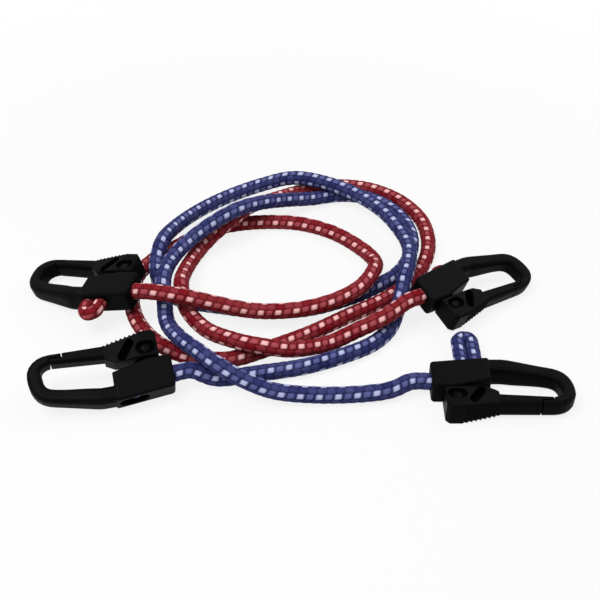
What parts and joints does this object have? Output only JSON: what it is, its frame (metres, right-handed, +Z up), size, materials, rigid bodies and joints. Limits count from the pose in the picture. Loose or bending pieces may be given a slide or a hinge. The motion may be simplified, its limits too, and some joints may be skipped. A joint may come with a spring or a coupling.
{
  "type": "bungee cord",
  "caption": "Loosely coiled pair of stretch cords with braided sheaths and moulded black carabiner hooks whose sprung gates have ribbed thumb pads.",
  "frame": {"origin": "on the surface that the cords lie on, under the middle of the box round the four hooks", "axes": "+Z up; +X from the left hooks to the right hooks; +Y away from the viewer, towards the back of the coil"},
  "size_m": [0.285, 0.2037, 0.0274],
  "materials": {
    "red_braid": "braided synthetic yarn with pale tracer flecks",
    "blue_braid": "braided synthetic yarn with pale tracer flecks",
    "rubber_core": "natural latex strands",
    "hook_nylon": "moulded black nylon, satin",
    "gate_nylon": "moulded black nylon, satin, ribbed pad",
    "steel": "plated steel"
  },
  "bodies": {
    "cords_and_hooks": {"red_hook_left_body": "hook_nylon", "red_hook_left_pivot_pin": "steel", "red_hook_left_return_spring": "steel", "red_hook_left_ferrule": "steel", "red_hook_left_cord_tail": "red_braid", "blue_hook_left_body": "hook_nylon", "blue_hook_left_pivot_pin": "steel", "blue_hook_left_return_spring": "steel", "blue_hook_left_ferrule": "steel", "blue_hook_left_cord_tail": "blue_braid", "red_hook_right_body": "hook_nylon", "red_hook_right_pivot_pin": "steel", "red_hook_right_return_spring": "steel", "red_hook_right_ferrule": "steel", "red_hook_right_cord_tail": "red_braid", "blue_hook_right_body": "hook_nylon", "blue_hook_right_pivot_pin": "steel", "blue_hook_right_return_spring": "steel", "blue_hook_right_ferrule": "steel", "blue_hook_right_cord_tail": "blue_braid", "red_cord_sheath": "red_braid", "red_cord_core": "rubber_core", "blue_cord_sheath": "blue_braid", "blue_cord_core": "rubber_core"},
    "red_hook_left_gate": {"red_hook_left_gate": "gate_nylon"},
    "blue_hook_left_gate": {"blue_hook_left_gate": "gate_nylon"},
    "red_hook_right_gate": {"red_hook_right_gate": "gate_nylon"},
    "blue_hook_right_gate": {"blue_hook_right_gate": "gate_nylon"}
  },
  "joints": [
    {"name": "red_hook_left_gate_hinge", "type": "hinge", "parent": "cords_and_hooks", "child": "red_hook_left_gate", "pos_m": [-0.08556, 0.03471, 0.01916], "axis": [-0.2564, -0.0293, 0.9661], "range_deg": [0, 14], "stiffness_Nm_per_rad": 0.06, "springref_deg": -20.05},
    {"name": "blue_hook_left_gate_hinge", "type": "hinge", "parent": "cords_and_hooks", "child": "blue_hook_left_gate", "pos_m": [-0.06947, -0.02444, 0.01622], "axis": [0.1135, -0.4072, 0.9063], "range_deg": [0, 14], "stiffness_Nm_per_rad": 0.06, "springref_deg": -20.05},
    {"name": "red_hook_right_gate_hinge", "type": "hinge", "parent": "cords_and_hooks", "child": "red_hook_right_gate", "pos_m": [0.08878, 0.01445, 0.01032], "axis": [0.2326, -0.1958, 0.9527], "range_deg": [0, 14], "stiffness_Nm_per_rad": 0.06, "springref_deg": -20.05},
    {"name": "blue_hook_right_gate_hinge", "type": "hinge", "parent": "cords_and_hooks", "child": "blue_hook_right_gate", "pos_m": [0.08399, -0.04986, 0.0065], "axis": [0, 0, 1], "range_deg": [0, 14], "stiffness_Nm_per_rad": 0.06, "springref_deg": -20.05}
  ]
}
